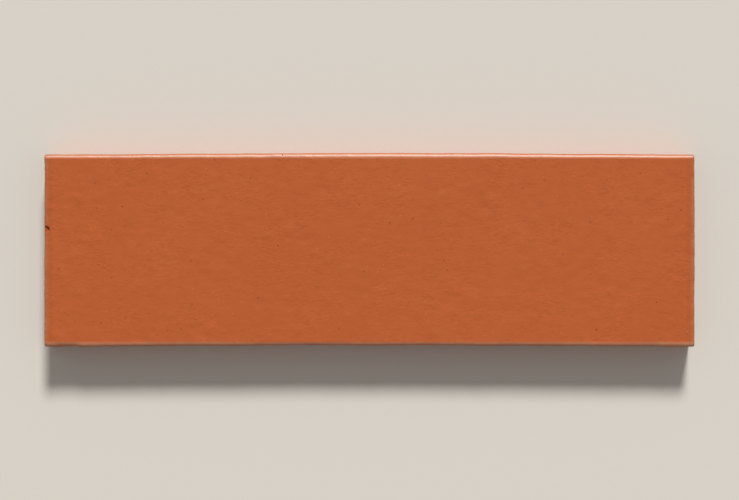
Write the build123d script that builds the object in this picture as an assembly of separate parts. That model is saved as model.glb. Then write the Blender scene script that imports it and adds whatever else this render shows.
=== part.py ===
from build123d import *
import os

# Clinker facade tile: one solid slip of fired clay, drawn through a die as a strip and wire-cut to length.
# It lies on its keyed back with the face up. X runs along the strip, +Y is the edge laid uppermost
# in a wall, and Z = 0 is the plane of the back's lands. All sizes are in millimetres.

length = 240.0  # between the two wire cuts
height = 71.0  # as laid in a course
thickness = 14.0  # from the back's lands to the face

face_arris_radius = 1.5  # long arrises of the face, rounded by the die
back_arris_bevel = 1.0  # long arrises of the back, bevelled by the die
cut_arris_radius = 0.5  # arrises left by the wire, softened by handling before firing

key_count = 6  # dovetail grooves that lock the back into its adhesive bed
key_mouth = 4.4  # width of a groove where it opens on the back
key_depth = 2.0
key_undercut = 0.6  # how far each flank leans back under its land
key_lip_radius = 0.3  # where a flank meets the land
key_root_radius = 0.5  # where a flank meets the bottom of the groove
outer_land = 6.8  # from a long side to the first groove's mouth

key_root = key_mouth + 2 * key_undercut
key_pitch = (height - 2 * outer_land - key_mouth) / (key_count - 1)


def dovetail_key():
    """One groove's outline, its mouth centred on the origin and its wider root above."""
    with BuildSketch() as key:
        with BuildLine():
            Polyline(
                (-key_mouth / 2, 0),
                (key_mouth / 2, 0),
                (key_root / 2, key_depth),
                (-key_root / 2, key_depth),
                close=True,
            )
        make_face()
        fillet(key.vertices().group_by(Axis.Y)[-1], key_root_radius)
    return key.sketch


def die_section():
    """The strip's cross-section. The sketch's X is the tile's Y, and its Y is the tile's Z."""
    with BuildSketch(Plane.YZ) as section:
        Rectangle(height, thickness, align=(Align.CENTER, Align.MIN))
        fillet(section.vertices().group_by(Axis.Y)[-1], face_arris_radius)
        chamfer(section.vertices().group_by(Axis.Y)[0], back_arris_bevel)
        with GridLocations(key_pitch, 0, key_count, 1):
            add(dovetail_key(), mode=Mode.SUBTRACT)
        back_corners = section.vertices().group_by(Axis.Y)[0].sort_by(Axis.X)
        fillet(back_corners[1:-1], key_lip_radius)
    return section.sketch


def facade_tile():
    """The strip between its two wire cuts, with the cut arrises eased along the sides and the face."""
    keyed_zone = key_depth + back_arris_bevel
    with BuildPart() as tile:
        extrude(die_section(), amount=length / 2, both=True)
        ends = tile.faces().group_by(Axis.X)
        cut_arrises = [
            edge
            for end in (ends[0], ends[-1])
            for edge in end.edges()
            if edge.center().Z > keyed_zone
        ]
        fillet(cut_arrises, cut_arris_radius)
    return tile.part


tile = facade_tile()
tile.label = "facade_tile"

os.makedirs("parts", exist_ok=True)
export_step(tile, "parts/facade_tile.step")
print("volume mm3", round(tile.volume), tile.bounding_box())
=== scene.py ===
import math
import random

import bmesh
import bpy
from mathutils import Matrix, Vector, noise


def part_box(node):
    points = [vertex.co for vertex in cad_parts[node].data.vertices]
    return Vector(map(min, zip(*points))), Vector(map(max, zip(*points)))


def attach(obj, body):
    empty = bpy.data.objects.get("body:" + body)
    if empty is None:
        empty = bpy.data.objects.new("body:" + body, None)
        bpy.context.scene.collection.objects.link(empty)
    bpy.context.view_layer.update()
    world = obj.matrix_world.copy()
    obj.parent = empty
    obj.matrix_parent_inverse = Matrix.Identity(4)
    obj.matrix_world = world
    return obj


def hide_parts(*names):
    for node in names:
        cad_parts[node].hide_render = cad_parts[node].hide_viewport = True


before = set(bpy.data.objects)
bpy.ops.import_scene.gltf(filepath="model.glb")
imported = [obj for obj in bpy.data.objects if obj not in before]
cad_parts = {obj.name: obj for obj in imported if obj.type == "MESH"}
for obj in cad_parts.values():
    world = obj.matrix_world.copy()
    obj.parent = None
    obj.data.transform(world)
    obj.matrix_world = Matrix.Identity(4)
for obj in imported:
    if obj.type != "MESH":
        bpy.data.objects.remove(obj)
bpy.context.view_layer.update()  # one body, "root", and one node, "facade_tile"

MM = 0.001  # the scene is in metres

# The slip as it leaves the die. Its outer sizes are read from the frame's node.
corner_low, corner_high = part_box("facade_tile")
LENGTH = corner_high.x - corner_low.x
HEIGHT = corner_high.y - corner_low.y
THICKNESS = corner_high.z - corner_low.z
FACE_ARRIS = 1.5 * MM
BACK_BEVEL = 1.0 * MM
CUT_ARRIS = 0.5 * MM
KEY_COUNT = 6
KEY_MOUTH = 4.4 * MM
KEY_DEPTH = 2.0 * MM
KEY_UNDERCUT = 0.6 * MM
KEY_LIP = 0.3 * MM
KEY_ROOT = 0.5 * MM
OUTER_LAND = 6.8 * MM
KEY_PITCH = (HEIGHT - 2 * OUTER_LAND - KEY_MOUTH) / (KEY_COUNT - 1)
KEY_CENTRES = [corner_low.y + OUTER_LAND + KEY_MOUTH / 2 + i * KEY_PITCH for i in range(KEY_COUNT)]
MOUTH_CORNERS = [c + side * KEY_MOUTH / 2 for c in KEY_CENTRES for side in (-1, 1)]
ROOT_CORNERS = [c + side * (KEY_MOUTH / 2 + KEY_UNDERCUT) for c in KEY_CENTRES for side in (-1, 1)]

# How finely the mesh is divided, so that it carries the skin's relief.
SECTION_STEP = 0.6 * MM
BACK_STEP = 1.6 * MM  # along the strip, on its back; its face is divided twice as finely
CORNER_CELL = 2.0 * MM  # the outermost cells, large enough for an arris
TOUCH = 0.01 * MM  # two places nearer than this are the same
SMOOTH_BELOW = math.radians(38)
SHARP = math.radians(57)  # the turn from one face to the next, above which their edge is an arris
FACES_OUT = 0.8  # the least share of a face's normal along X on a cut end
FACES_DOWN = -0.2  # the greatest share of a face's normal along Z on the back

# What handling, drying and firing did to the slip.
FIRING_BOW = 0.6 * MM  # the middle of the long sides lies this much further up the wall than their ends
ARRIS_REACH = 3.5 * MM  # how far from an arris its own unevenness reaches
PRESSED = 13 * MM  # across a place of the skin that the die pressed smoother than the next
SKIN_RELIEF = 0.62  # the share of its relief that the skin keeps on average
SKIN_SPREAD = 0.9  # how far a noise between -1 and 1 takes that share up or down
DENTED = (corner_low.x, corner_low.x + 27 * MM)  # of the lower long arris, which was dented while soft
KNOCK = (corner_low.x + 0.7 * MM, 7.9 * MM, THICKNESS + 0.8 * MM)  # the middle of the largest crumb
KNOCK_WIDTH = 3.2 * MM  # of that crumb, which came off the left end and left a shallow shell
CRUMB_GAP = 3.0 * MM  # the least distance from one crumb to the next
END_CRUMBS = 7  # off each cut end, before those too near another are left out
END_WIDTHS = (0.6, 1.4)  # the least and the greatest, in millimetres
CUT_ARRIS_CRUMBS = 4  # off the face's arris at each end
LONG_ARRIS_CRUMBS = 2  # off each of the face's long arrises
ARRIS_WIDTHS = (0.6, 1.0)
FACE_CRUMBS = 7
FACE_WIDTHS = (0.4, 0.8)
OFF_CORNERS = 0.95  # the share of the face's half height that the ends' crumbs keep to
ON_ARRIS = 0.99  # of the half height, where a crumb bites into a long arris
ON_FACE = (0.97, 0.9)  # the shares of the half length and half height that the face's crumbs keep to
FACE_LIFT = 0.1 * MM  # of a face crumb's middle over the face, so that it leaves a shallow pit
CRUMB_SHAPE = (0.7, 1.2)  # the least and the greatest share of its width that a crumb measures along an axis
BREAK_ROUGHNESS = 0.1  # of a crumb's width

# Where the skin's finish changes near the face's arrises, and what the finishes' patterns share.
CREST = 0.25 * MM  # below the face, where a long arris has its full finish
RUB_AND_HIGHLIGHT_DEPTH = 1.6 * MM  # below the face, where the pale rub of handling ends, which on the crests of the long arrises is also a painted highlight
POLISHED = 0.9 * MM  # below the face, where the die's polish ends
ARRIS_START = 1.9 * MM  # in from a long side, where its arris's finish starts
ARRIS_FULL = 1.0 * MM  # in from a long side, where it is full
END_SHADE_BAND = 3.5 * MM  # in from a cut, where a painted shade starts that darkens the skin towards the cut
CUT_RUB = 2.0 * MM  # in from a cut, where handling rubbed the skin pale
SPECK_TURN = (0.5, 0.7, 0.3)  # so that no side of the slip lies square to the specks' cells
MOST = {1: 0.3, 2: 0.7}  # what a MapRange reads of a noise, most of which lies between these
BLENDED = {"data_type": "RGBA"}  # a Mix that blends one colour into another by a share
SHADED = {"data_type": "RGBA", "blend_type": "MULTIPLY"}  # a Mix that multiplies a colour by a shade

# The studio.
LAMP_ELEVATION = math.radians(36)  # of the light above the face
LAMP_TURN = math.radians(6)  # of the light, from straight over the upper long side towards the right end
LAMP_SOFTNESS = math.radians(12)
LAMP_LEVEL = 1.17  # light on a surface that faces the lamp; 1 shows a white surface as white
FILL_LEVEL = 0.32
LENS = 100.0
SENSOR = 36.0
FRAME_SHARE = 0.88  # of the picture's width that the tile takes up
FLOOR_SIZE = 8.0
PALE = "#D6D0C6"


def colour(code):
    """The linear colour of an sRGB hex code."""
    channels = [int(code[i : i + 2], 16) / 255 for i in (1, 3, 5)]
    return [c / 12.92 if c <= 0.04045 else ((c + 0.055) / 1.055) ** 2.4 for c in channels] + [1.0]


def near(a, b):
    return abs(a - b) < TOUCH


def pick(piece, kind, wanted):
    """Selects, in edit mode, the piece's VERT, EDGE or FACE elements that pass the test."""
    bpy.ops.mesh.select_mode(type=kind)
    bpy.ops.mesh.select_all(action="DESELECT")
    mesh = bmesh.from_edit_mesh(piece.data)
    elements = {"VERT": mesh.verts, "EDGE": mesh.edges, "FACE": mesh.faces}[kind]
    for element in elements:
        if wanted(element):
            element.select_set(True)
    mesh.select_flush_mode()
    bmesh.update_edit_mesh(piece.data)


def drawn_edge(edge):
    """True for an edge that runs along the strip."""
    a, b = (vertex.co for vertex in edge.verts)
    return near(a.y, b.y) and near(a.z, b.z)


def edge_middle(edge):
    return (edge.verts[0].co + edge.verts[1].co) / 2


def divided(stops, step):
    """The stops, and evenly spaced lines between them, no further apart than the step."""
    slack = 0.001  # of a step, so that a rounding error adds no line
    lines = []
    for start, end in zip(stops, stops[1:]):
        parts = math.ceil((end - start) / step - slack)
        lines += [start + (end - start) * i / parts for i in range(parts)]
    return [*lines, stops[-1]]


def bevel_edges(piece, wanted, width, segments):
    """Bevels the edges that pass the test, which with two segments or more rounds them."""
    pick(piece, "EDGE", wanted)
    bpy.ops.mesh.bevel(offset=width, segments=segments, profile=0.5, affect="EDGES", clamp_overlap=False)


def die_section():
    """The strip's section at the left end, as a sheet of small cells with the keys cut out of its back."""
    bpy.ops.mesh.primitive_plane_add(
        size=1, location=(corner_low.x, 0, THICKNESS / 2), rotation=(0, math.pi / 2, 0)
    )
    piece = bpy.context.object
    piece.name = piece.data.name = "clinker_slip"
    piece.scale = (THICKNESS, HEIGHT, 1)
    bpy.ops.object.transform_apply(location=True, rotation=True, scale=True)

    across = [corner_low.y + CORNER_CELL, *MOUTH_CORNERS, corner_high.y - CORNER_CELL]
    through = [KEY_DEPTH, THICKNESS - CORNER_CELL]
    bpy.ops.object.mode_set(mode="EDIT")
    for y in divided(across, SECTION_STEP):
        bpy.ops.mesh.select_all(action="SELECT")
        bpy.ops.mesh.bisect(plane_co=(0, y, 0), plane_no=(0, 1, 0), threshold=TOUCH)
    for z in divided(through, SECTION_STEP):
        bpy.ops.mesh.select_all(action="SELECT")
        bpy.ops.mesh.bisect(plane_co=(0, 0, z), plane_no=(0, 0, 1), threshold=TOUCH)

    def in_a_key(face):
        middle = face.calc_center_median()
        return middle.z < KEY_DEPTH and any(abs(middle.y - c) < KEY_MOUTH / 2 for c in KEY_CENTRES)

    pick(piece, "FACE", in_a_key)
    bpy.ops.mesh.delete(type="FACE")
    for side in (-1, 1):
        corners = [c + side * KEY_MOUTH / 2 for c in KEY_CENTRES]
        pick(piece, "VERT", lambda v: near(v.co.z, KEY_DEPTH) and any(near(v.co.y, y) for y in corners))
        bpy.ops.transform.translate(value=(0, side * KEY_UNDERCUT, 0))
    return piece


def draw_out():
    """Draws the section out to the tile's length."""
    bpy.ops.mesh.select_mode(type="FACE")
    bpy.ops.mesh.select_all(action="SELECT")
    bpy.ops.mesh.extrude_region_move(TRANSFORM_OT_translate={"value": (LENGTH, 0, 0)})
    bpy.ops.mesh.select_all(action="SELECT")
    bpy.ops.mesh.normals_make_consistent(inside=False)


def ease_arrises(piece):
    """Rounds and bevels the arrises, the die's first and then the wire's."""

    def drawn_at(edge, places, z):
        middle = edge_middle(edge)
        return drawn_edge(edge) and near(middle.z, z) and any(near(middle.y, y) for y in places)

    sides = (corner_low.y, corner_high.y)
    bevel_edges(piece, lambda e: drawn_at(e, sides, THICKNESS), FACE_ARRIS, segments=5)
    bevel_edges(piece, lambda e: drawn_at(e, sides, 0), BACK_BEVEL, segments=1)
    bevel_edges(piece, lambda e: drawn_at(e, MOUTH_CORNERS, 0), KEY_LIP, segments=2)
    bevel_edges(piece, lambda e: drawn_at(e, ROOT_CORNERS, KEY_DEPTH), KEY_ROOT, segments=2)

    def cut_arris(edge):
        middle = edge_middle(edge)
        at_an_end = all(near(abs(vertex.co.x), LENGTH / 2) for vertex in edge.verts)
        outer = abs(middle.y) > HEIGHT / 2 - TOUCH and middle.z > BACK_BEVEL
        return at_an_end and edge.calc_face_angle(0) > SHARP and (outer or middle.z > THICKNESS / 2)

    bevel_edges(piece, cut_arris, CUT_ARRIS, segments=3)


def divide_length(piece):
    """Cuts the strip's long faces into short ones, in two passes, and then halves those nearer the face."""
    parts = round(math.sqrt(LENGTH / BACK_STEP))
    for longest in (LENGTH / 2, LENGTH / parts / 2):
        pick(piece, "EDGE", lambda e: drawn_edge(e) and e.calc_length() > longest)
        bpy.ops.mesh.subdivide(number_cuts=parts - 1)

    def in_face_half(edge):
        return drawn_edge(edge) and edge_middle(edge).z > THICKNESS / 2 and edge.calc_length() > BACK_STEP / 2

    pick(piece, "EDGE", in_face_half)
    bpy.ops.mesh.subdivide()


def finish_surfaces(piece, skin, cut_end, keyed_back):
    """Gives the faces the finish that the die or the wire left on them."""
    for material in (skin, cut_end, keyed_back):
        piece.data.materials.append(material)

    def is_cut_end(face):
        return abs(face.normal.x) > FACES_OUT

    def is_keyed_back(face):
        middle = face.calc_center_median()
        in_a_key = middle.z < KEY_DEPTH and abs(middle.y) < HEIGHT / 2 - CORNER_CELL
        return not is_cut_end(face) and (face.normal.z < FACES_DOWN or in_a_key)

    for index, wanted in ((1, is_cut_end), (2, is_keyed_back)):
        pick(piece, "FACE", wanted)
        piece.active_material_index = index
        bpy.ops.object.material_slot_assign()


def weigh(piece, name, weight_of):
    """A group of the piece's vertices, each with the weight that its place gives."""
    group = piece.vertex_groups.new(name=name)
    for vertex in piece.data.vertices:
        weight = min(1.0, weight_of(vertex.co))
        if weight > 0:
            group.add([vertex.index], weight, "REPLACE")
    return name


def bow(piece):
    """Bows the slip sideways, as it came out of the kiln."""
    bpy.ops.object.add(type="LATTICE", location=(0, 0, THICKNESS / 2))
    cage = bpy.context.object
    cage.scale = (LENGTH, HEIGHT, THICKNESS)
    cage.data.points_u, cage.data.points_v, cage.data.points_w = 9, 2, 2
    for point in cage.data.points:
        along = point.co.x * 2  # -1 at one end, 1 at the other
        point.co_deform.y += FIRING_BOW / HEIGHT * (0.5 - along**2)
    bend = piece.modifiers.new("bow", "LATTICE")
    bend.object = cage
    bpy.context.view_layer.objects.active = piece
    bpy.ops.object.modifier_apply(modifier=bend.name)
    bpy.data.objects.remove(cage)


def relieve(piece, name, depth, grain, stretch=(1, 1, 1), group="", direction="NORMAL", octaves=2, level=0.5):
    """Moves the skin by a noise whose lumps are a grain wide, times the stretch along X, Y and Z.

    Where the noise equals the level the skin stays where it is, so a level of 1 only presses it in.
    """
    guide = bpy.data.objects.new(name, None)
    guide.scale = [grain * share for share in stretch]
    bpy.context.collection.objects.link(guide)
    lumps = bpy.data.textures.new(name, "CLOUDS")
    lumps.noise_scale = 1.0
    lumps.noise_depth = octaves
    lumps.noise_basis = "ORIGINAL_PERLIN"
    push = piece.modifiers.new(name, "DISPLACE")
    push.texture = lumps
    push.texture_coords = "OBJECT"
    push.texture_coords_object = guide
    push.vertex_group = group
    push.direction = direction
    push.strength = depth
    push.mid_level = level
    bpy.context.view_layer.objects.active = piece
    bpy.ops.object.modifier_apply(modifier=name)
    bpy.data.objects.remove(guide)
    bpy.data.textures.remove(lumps)


def along_face_arris(place):
    gap = math.hypot(HEIGHT / 2 - abs(place.y), THICKNESS - place.z)
    return 1 - gap / ARRIS_REACH


def along_cut_arris(place):
    gap = math.hypot(LENGTH / 2 - abs(place.x), THICKNESS - place.z)
    return 1 - gap / ARRIS_REACH


def along_dented_arris(place):
    """Full over the middle of the dented part, and fading out towards both its ends."""
    gap = math.hypot(place.y - corner_low.y, THICKNESS - place.z)
    middle = sum(DENTED) / 2
    reach = (DENTED[1] - DENTED[0]) / 2
    return min(1 - gap / ARRIS_REACH, 2 - 2 * abs(place.x - middle) / reach)


def on_cut_end(place):
    return 1.0 if abs(place.x) > LENGTH / 2 - TOUCH else 0.0


def towards_face(place):
    return 2 * place.z / THICKNESS - 1


def on_skin(place):
    """Uneven, because the die presses some places of the skin smoother than others."""
    if on_cut_end(place) or place.z < KEY_DEPTH + TOUCH:
        return 0.0
    return SKIN_RELIEF + SKIN_SPREAD * noise.noise(place / PRESSED)


def on_back(place):
    return 0.0 if on_cut_end(place) or place.z > KEY_DEPTH + TOUCH else 1.0


def fire(piece):
    """The unevenness that the die, the wire, handling and the kiln left on the slip."""
    face_arris = weigh(piece, "face_arris", along_face_arris)
    cut_arris = weigh(piece, "cut_arris", along_cut_arris)
    dented_arris = weigh(piece, "dented_arris", along_dented_arris)
    cut_end = weigh(piece, "cut_end", on_cut_end)
    upper_half = weigh(piece, "upper_half", towards_face)
    skin = weigh(piece, "skin", on_skin)
    back = weigh(piece, "back", on_back)
    bow(piece)

    # Each unevenness with its depth and the width of its lumps.
    relieve(piece, "uneven_outline", 0.5 * MM, 24 * MM, direction="Y", octaves=1)
    relieve(piece, "uneven_length", 0.4 * MM, 22 * MM, direction="X", octaves=1)
    relieve(piece, "dents", 2.4 * MM, 6 * MM, group=dented_arris, direction="Y", octaves=1)
    relieve(piece, "lumpy_arris", 0.35 * MM, 7 * MM, (1.6, 1, 1), face_arris)
    relieve(piece, "nibbled_arris", 0.25 * MM, 2.5 * MM, group=cut_arris)
    relieve(piece, "slack_face", 0.12 * MM, 45 * MM, group=upper_half, direction="Z", octaves=1)
    relieve(piece, "ripple", 0.33 * MM, 5.0 * MM, group=skin, octaves=1)
    relieve(piece, "peel", 0.19 * MM, 2.3 * MM, (1.8, 1, 1), skin)
    relieve(piece, "drawn_back", 0.12 * MM, 1.8 * MM, (30, 1, 1), back, level=1.0)
    relieve(piece, "wire_drag", 0.25 * MM, 1.3 * MM, (1, 1, 3), cut_end, direction="X")


def clear_of(spot, others):
    return all(math.dist(spot[:3], other[:3]) > CRUMB_GAP for other in others)


def crumbs():
    """Where crumbs came off: the large one, some at the ends and long arrises, and small ones on the face."""
    draw = random.Random(5)
    spots = [(*KNOCK, KNOCK_WIDTH)]
    for end in (corner_low.x, corner_high.x):
        for _ in range(END_CRUMBS):
            y = draw.uniform(corner_low.y, corner_high.y) * OFF_CORNERS
            z = draw.uniform(KEY_DEPTH, THICKNESS)
            spots.append((end, y, z, draw.uniform(*END_WIDTHS) * MM))
        for _ in range(CUT_ARRIS_CRUMBS):
            y = draw.uniform(corner_low.y, corner_high.y) * OFF_CORNERS
            spots.append((end, y, THICKNESS, draw.uniform(*ARRIS_WIDTHS) * MM))
    for side in (corner_low.y, corner_high.y):
        for _ in range(LONG_ARRIS_CRUMBS):
            x = draw.uniform(corner_low.x, corner_high.x)
            spots.append((x, side * ON_ARRIS, THICKNESS, draw.uniform(*ARRIS_WIDTHS) * MM))
    for _ in range(FACE_CRUMBS):
        x = draw.uniform(corner_low.x, corner_high.x) * ON_FACE[0]
        y = draw.uniform(corner_low.y, corner_high.y) * ON_FACE[1]
        spots.append((x, y, THICKNESS + FACE_LIFT, draw.uniform(*FACE_WIDTHS) * MM))
    return [spot for i, spot in enumerate(spots) if clear_of(spot, spots[:i])]


def knock_off(piece, spots, broken):
    """Takes a rough crumb out of the slip at each spot, which is a centre and a width."""
    draw = random.Random(9)
    for number, (*place, width) in enumerate(spots):
        turn = [draw.uniform(0, math.pi) for _ in range(3)]
        shape = [draw.uniform(*CRUMB_SHAPE) for _ in range(3)]
        bpy.ops.mesh.primitive_ico_sphere_add(
            subdivisions=2, radius=width / 2, location=place, rotation=turn, scale=shape
        )
        if number == 0:
            lumps = bpy.context.object
            lumps.name = "crumbs"
            bpy.ops.object.transform_apply(location=True, rotation=True, scale=True)
            bpy.ops.object.mode_set(mode="EDIT")
        bpy.ops.transform.vertex_random(offset=BREAK_ROUGHNESS * width, normal=1, seed=number)
    bpy.ops.object.mode_set(mode="OBJECT")
    lumps.data.materials.append(broken)

    cut = piece.modifiers.new("knocked_off", "BOOLEAN")
    cut.operation = "DIFFERENCE"
    cut.solver = "EXACT"
    cut.material_mode = "TRANSFER"
    cut.object = lumps
    bpy.context.view_layer.objects.active = piece
    bpy.ops.object.modifier_apply(modifier=cut.name)
    bpy.data.objects.remove(lumps)


def make_slip(skin, cut_end, keyed_back, broken):
    """The slip, drawn through the die, cut by the wire, fired, and knocked here and there."""
    bpy.ops.object.select_all(action="DESELECT")
    piece = die_section()
    draw_out()
    ease_arrises(piece)
    divide_length(piece)
    finish_surfaces(piece, skin, cut_end, keyed_back)
    bpy.ops.object.mode_set(mode="OBJECT")
    fire(piece)
    knock_off(piece, crumbs(), broken)
    bpy.ops.object.select_all(action="DESELECT")
    piece.select_set(True)
    bpy.ops.object.shade_smooth_by_angle(angle=SMOOTH_BELOW)
    return piece


def add(tree, kind, inputs=(), **settings):
    """Adds a shader node with its settings. An input takes a value, a socket or a node's first output.

    Inputs 1 to 4 of a MapRange are the range it reads and the range it gives, 0 to 1 unless set. Inputs 0,
    6 and 7 of a colour Mix are its share and its two colours, and its output 2 is the colour.
    """
    node = tree.nodes.new("ShaderNode" + kind)
    for name, value in settings.items():
        setattr(node, name, value)
    for name, value in dict(inputs).items():
        if isinstance(value, bpy.types.Node):
            value = value.outputs[0]
        if isinstance(value, bpy.types.NodeSocket):
            tree.links.new(value, node.inputs[name])
        else:
            node.inputs[name].default_value = value
    return node


def blank_material(name):
    material = bpy.data.materials.new(name)
    material.use_nodes = True
    material.node_tree.nodes.clear()
    return material, material.node_tree


def specks(tree, place, spacing, radius, share):
    """1 on ragged specks up to a radius in size, about a spacing apart, in a share of their places."""
    turned = add(tree, "Mapping", {"Vector": place, "Rotation": SPECK_TURN})
    cells = add(tree, "TexVoronoi", {"Vector": turned, "Scale": 1 / spacing})
    lot = add(tree, "SeparateColor", {0: cells.outputs["Color"]})  # a chance share and size for each speck
    size = add(tree, "MapRange", {0: lot.outputs[1], 3: 0.5 * radius / spacing, 4: radius / spacing})
    reach = add(tree, "Math", {0: cells, 1: size}, operation="DIVIDE")

    # A noise is added to the distance from the speck's middle, in its own sizes, to make its rim ragged.
    rags = add(tree, "TexNoise", {"Vector": place, "Scale": 1 / radius, "Detail": 2.0})
    ragged = add(tree, "Math", {0: rags, 1: 1.6, 2: reach}, operation="MULTIPLY_ADD")
    spot = add(tree, "MapRange", {0: ragged, 1: 1.8, 2: 1.5})
    kept = add(tree, "Math", {0: lot.outputs[0], 1: share}, operation="LESS_THAN")
    return add(tree, "Math", {0: spot, 1: kept}, operation="MULTIPLY")


def on_long_arrises(tree, place, reach):
    """1 on the crests of the face's long arrises, fading out inwards and at a reach below the face."""
    split = add(tree, "SeparateXYZ", {0: place})
    across = add(tree, "Math", {0: split.outputs[1]}, operation="ABSOLUTE")
    outward = add(tree, "MapRange", {0: across, 1: HEIGHT / 2 - ARRIS_START, 2: HEIGHT / 2 - ARRIS_FULL})
    upward = add(tree, "MapRange", {0: split.outputs[2], 1: THICKNESS - reach, 2: THICKNESS - CREST})
    return add(tree, "Math", {0: outward, 1: upward}, operation="MULTIPLY")


def skin_colour(tree, place, drawn, opened):
    """A fired orange-red, grained where the skin is open, with a painted shade darker towards the cuts, and
    paler on arrises from rubbing and a painted highlight.
    """
    fired = add(tree, "TexNoise", {"Vector": place, "Scale": 1 / (30 * MM), "Detail": 2.0})
    tone = add(tree, "MapRange", {0: fired, **MOST})
    body = add(tree, "Mix", {0: tone, 6: colour("#B25626"), 7: colour("#B45827")}, **BLENDED).outputs[2]

    # The clay's own grains are some 0.2 mm across. They are drawn four times as coarse, so that they show.
    fineness = {"Scale": 1 / (0.8 * MM), "Detail": 3.0, "Roughness": 0.7}
    grains = add(tree, "TexNoise", {"Vector": drawn, **fineness})
    shade = add(tree, "MapRange", {0: grains, **MOST, 3: 0.91, 4: 1.09})
    grained = add(tree, "Mix", {0: opened, 6: body, 7: shade}, **SHADED).outputs[2]
    patches = add(tree, "TexNoise", {"Vector": place, "Scale": 1 / (5 * MM), "Detail": 2.0})
    patch = add(tree, "MapRange", {0: patches, 1: 0.25, 2: 0.75, 3: 0.975, 4: 1.025})
    mottled = add(tree, "Mix", {0: 1.0, 6: grained, 7: patch}, **SHADED).outputs[2]

    split = add(tree, "SeparateXYZ", {0: place})
    along = add(tree, "Math", {0: split.outputs[0]}, operation="ABSOLUTE")
    # Darker towards each cut: a painted shade, as of the end arris turning from the light.
    painted_end_shade = add(tree, "MapRange", {0: along, 1: LENGTH / 2 - END_SHADE_BAND, 2: LENGTH / 2, 3: 1.0, 4: 0.84})
    end_shaded = add(tree, "Mix", {0: 1.0, 6: mottled, 7: painted_end_shade}, **SHADED).outputs[2]
    iron = specks(tree, place, 3.6 * MM, 0.45 * MM, 0.4)
    ironed = add(tree, "Mix", {0: iron, 6: end_shaded, 7: colour("#934820")}, **BLENDED).outputs[2]
    grog = specks(tree, place, 2.6 * MM, 0.3 * MM, 0.5)
    grogged = add(tree, "Mix", {0: grog, 6: ironed, 7: colour("#C06A3A")}, **BLENDED).outputs[2]

    at_cut = add(tree, "MapRange", {0: along, 1: LENGTH / 2 - CUT_RUB, 2: LENGTH / 2})
    arris = add(tree, "Math", {0: on_long_arrises(tree, place, RUB_AND_HIGHLIGHT_DEPTH), 1: at_cut}, operation="MAXIMUM")
    # Paler on the arrises: handling wear, and on the crests of the long arrises also a painted highlight that
    # makes the die's gloss read cream.
    wear = add(tree, "MapRange", {0: patches, **MOST, 3: 0.3, 4: 0.8})
    pale_rub_and_highlight = add(tree, "Math", {0: arris, 1: wear}, operation="MULTIPLY")
    return add(tree, "Mix", {0: pale_rub_and_highlight, 6: grogged, 7: colour("#B4784E")}, **BLENDED).outputs[2]


def skin_relief(tree, place, drawn, opened):
    """Small flecks dragged along the strip, deeper where the skin is open, and grit all over."""
    # The flecks are about 0.9 mm across and twice as long, and the grit is about 0.4 mm across.
    flecks = add(tree, "TexNoise", {"Vector": drawn, "Scale": 1 / (0.9 * MM), "Distortion": 0.6})
    flecked = add(tree, "Bump", {"Height": flecks, "Strength": opened, "Distance": 0.105 * MM})
    grit = add(tree, "TexNoise", {"Vector": place, "Scale": 1 / (0.4 * MM)})
    return add(tree, "Bump", {"Height": grit, "Distance": 0.015 * MM, "Normal": flecked})


def drawn_clinker():
    """Iron-rich clay fired to sintering, with the close, faintly satin skin that a steel die leaves.

    The die polishes the long arrises most, so they catch the light in a soft pale line, and at a glancing
    angle the whole skin turns matt.
    """
    material, tree = blank_material("fired_clinker_drawn")
    place = add(tree, "TexCoord").outputs["Object"]
    drawn = add(tree, "Mapping", {"Vector": place, "Scale": (0.5, 1, 1)})

    # The die leaves some places of the skin, about 14 mm across, more open than others.
    pressed = add(tree, "TexNoise", {"Vector": place, "Scale": 1 / (14 * MM), "Detail": 1.0})
    opened = add(tree, "MapRange", {0: pressed, 1: 0.38, 2: 0.64, 3: 0.35, 4: 1.0})

    satin = add(tree, "TexNoise", {"Vector": place, "Scale": 1 / (5 * MM), "Detail": 2.0})
    dull = add(tree, "MapRange", {0: satin, **MOST, 3: 0.56, 4: 0.66})
    facing = add(tree, "LayerWeight", {"Blend": 0.5}).outputs["Facing"]
    glancing = add(tree, "MapRange", {0: facing, 1: 0.6, 2: 0.95})
    roughness = add(tree, "Mix", {0: glancing, 2: dull, 3: 0.95})
    square_on = add(tree, "MapRange", {0: facing, 1: 0.6, 2: 0.3})
    polished = add(
        tree, "Math", {0: on_long_arrises(tree, place, POLISHED), 1: square_on}, operation="MULTIPLY"
    )
    relief = skin_relief(tree, place, drawn, opened)
    surface = add(
        tree,
        "BsdfPrincipled",
        {
            "Base Color": skin_colour(tree, place, drawn, opened),
            "Roughness": roughness,
            "IOR": 1.5,
            "Specular IOR Level": 0.28,
            "Coat Weight": polished,
            "Coat Roughness": 0.5,
            "Coat IOR": 1.8,
            "Normal": relief,
            "Coat Normal": relief,
        },
    )
    add(tree, "OutputMaterial", {"Surface": surface})
    return material


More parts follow.
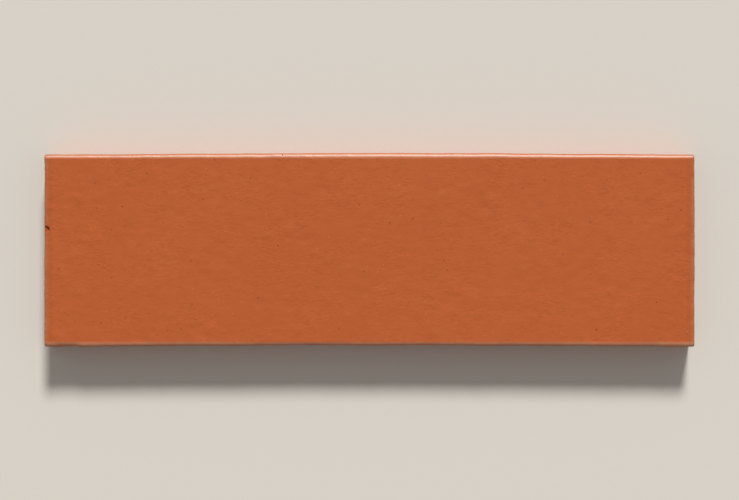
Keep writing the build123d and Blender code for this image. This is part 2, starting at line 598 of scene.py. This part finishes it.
def wire_cut_clinker():
    """The same clay where the wire tore through it: open, grainy and dull, with grog showing."""
    material, tree = blank_material("fired_clinker_wire_cut")
    place = add(tree, "TexCoord").outputs["Object"]
    dragged = add(tree, "Mapping", {"Vector": place, "Scale": (1, 1, 0.25)})
    clouds = add(tree, "TexNoise", {"Vector": place, "Scale": 1 / (3 * MM), "Detail": 4.0})
    tone = add(tree, "MapRange", {0: clouds, **MOST})
    body = add(tree, "Mix", {0: tone, 6: colour("#AA5228"), 7: colour("#B85E30")}, **BLENDED).outputs[2]
    iron = specks(tree, place, 2.2 * MM, 0.5 * MM, 0.4)
    ironed = add(tree, "Mix", {0: iron, 6: body, 7: colour("#7A3B1E")}, **BLENDED).outputs[2]
    grog = specks(tree, place, 1.9 * MM, 0.5 * MM, 0.3)
    grogged = add(tree, "Mix", {0: grog, 6: ironed, 7: colour("#C27549")}, **BLENDED).outputs[2]

    # The torn grains and the wire's marks are some 0.3 mm apart. They are drawn coarser, so that they show.
    grains = add(tree, "TexNoise", {"Vector": place, "Scale": 1 / (0.8 * MM), "Detail": 5.0})
    grainy = add(tree, "Bump", {"Height": grains, "Distance": 0.2 * MM})
    drag = add(tree, "TexNoise", {"Vector": dragged, "Scale": 1 / (0.7 * MM), "Detail": 3.0})
    torn = add(tree, "Bump", {"Height": drag, "Distance": 0.1 * MM, "Normal": grainy})
    surface = add(
        tree,
        "BsdfPrincipled",
        {"Base Color": grogged, "Roughness": 0.95, "IOR": 1.5, "Specular IOR Level": 0.15, "Normal": torn},
    )
    add(tree, "OutputMaterial", {"Surface": surface})
    return material


def broken_clinker():
    """The fired body where a crumb came off: rough, a little deeper in colour than the skin, and dull."""
    material, tree = blank_material("fired_clinker_broken")
    place = add(tree, "TexCoord").outputs["Object"]
    grains = add(tree, "TexNoise", {"Vector": place, "Scale": 1 / (0.4 * MM), "Detail": 4.0})
    tone = add(tree, "MapRange", {0: grains, **MOST})
    body = add(tree, "Mix", {0: tone, 6: colour("#8E4420"), 7: colour("#B5602F")}, **BLENDED).outputs[2]
    grainy = add(tree, "Bump", {"Height": grains, "Distance": 0.12 * MM})
    surface = add(
        tree,
        "BsdfPrincipled",
        {"Base Color": body, "Roughness": 0.88, "IOR": 1.5, "Specular IOR Level": 0.25, "Normal": grainy},
    )
    add(tree, "OutputMaterial", {"Surface": surface})
    return material


def keyed_clinker():
    """The same clay on the back, lined by the die's rougher core and dulled by pale kiln dust."""
    material, tree = blank_material("fired_clinker_keyed_back")
    place = add(tree, "TexCoord").outputs["Object"]
    drawn = add(tree, "Mapping", {"Vector": place, "Scale": (0.05, 1, 1)})

    # The die's lines are some 0.3 mm apart. They are drawn coarser, so that they show.
    lines = add(tree, "TexNoise", {"Vector": drawn, "Scale": 1 / (0.8 * MM), "Detail": 3.0})
    tone = add(tree, "MapRange", {0: lines, **MOST})
    body = add(tree, "Mix", {0: tone, 6: colour("#AA5429"), 7: colour("#B85E30")}, **BLENDED).outputs[2]
    settled = add(tree, "TexNoise", {"Vector": place, "Scale": 1 / (14 * MM), "Detail": 5.0})
    dust = add(tree, "MapRange", {0: settled, 1: 0.4, 2: 0.75, 3: 0.0, 4: 0.3})
    dusty = add(tree, "Mix", {0: dust, 6: body, 7: colour("#C9987A")}, **BLENDED).outputs[2]
    grit = add(tree, "TexNoise", {"Vector": place, "Scale": 1 / (0.5 * MM), "Detail": 3.0})
    gritty = add(tree, "Bump", {"Height": grit, "Distance": 0.04 * MM})
    lined = add(tree, "Bump", {"Height": lines, "Distance": 0.06 * MM, "Normal": gritty})
    surface = add(
        tree,
        "BsdfPrincipled",
        {"Base Color": dusty, "Roughness": 0.72, "IOR": 1.5, "Specular IOR Level": 0.28, "Normal": lined},
    )
    add(tree, "OutputMaterial", {"Surface": surface})
    return material


def make_floor():
    """A floor in plain pale matt paint, which shows the tile's shadow and no glare."""
    bpy.ops.mesh.primitive_plane_add(size=FLOOR_SIZE, location=(0, 0, 0))
    floor = bpy.context.object
    floor.name = "floor"
    material, tree = blank_material("pale_floor_paint")
    paint = add(tree, "BsdfDiffuse", {"Color": colour(PALE)})
    add(tree, "OutputMaterial", {"Surface": paint})
    floor.data.materials.append(material)


def light_studio():
    """One soft lamp beyond the upper long side, and an even fill from all round."""
    bpy.ops.object.light_add(type="SUN", rotation=(LAMP_ELEVATION - math.pi / 2, 0, -LAMP_TURN))
    lamp = bpy.context.object
    lamp.name = "key_light"
    lamp.data.energy = LAMP_LEVEL * math.pi
    lamp.data.angle = LAMP_SOFTNESS

    world = bpy.data.worlds.new("studio")
    bpy.context.scene.world = world
    world.use_nodes = True
    tree = world.node_tree
    tree.nodes.clear()
    fill = add(tree, "Background", {"Color": (1, 1, 1, 1), "Strength": FILL_LEVEL})
    backdrop = add(tree, "Background", {"Color": colour(PALE)})
    ray = add(tree, "LightPath").outputs
    seen = add(tree, "Math", {0: ray["Is Camera Ray"], 1: ray["Is Glossy Ray"]}, operation="MAXIMUM")
    shown = add(tree, "Math", {0: seen, 1: ray["Is Transmission Ray"]}, operation="MAXIMUM")
    light = add(tree, "MixShader", {0: shown, 1: fill, 2: backdrop})
    add(tree, "OutputWorld", {"Surface": light})


def set_camera():
    """Looks straight down on the face, as the photograph looks straight at the wall."""
    distance = LENGTH / FRAME_SHARE * LENS / SENSOR
    bpy.ops.object.camera_add(location=(0, 0, THICKNESS + distance), rotation=(0, 0, 0))
    camera = bpy.context.object
    camera.data.lens = LENS
    camera.data.sensor_width = SENSOR
    bpy.context.scene.camera = camera


slip = make_slip(drawn_clinker(), wire_cut_clinker(), keyed_clinker(), broken_clinker())
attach(slip, "root")
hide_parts("facade_tile")
make_floor()
light_studio()
set_camera()
bpy.context.scene.view_settings.view_transform = "Standard"
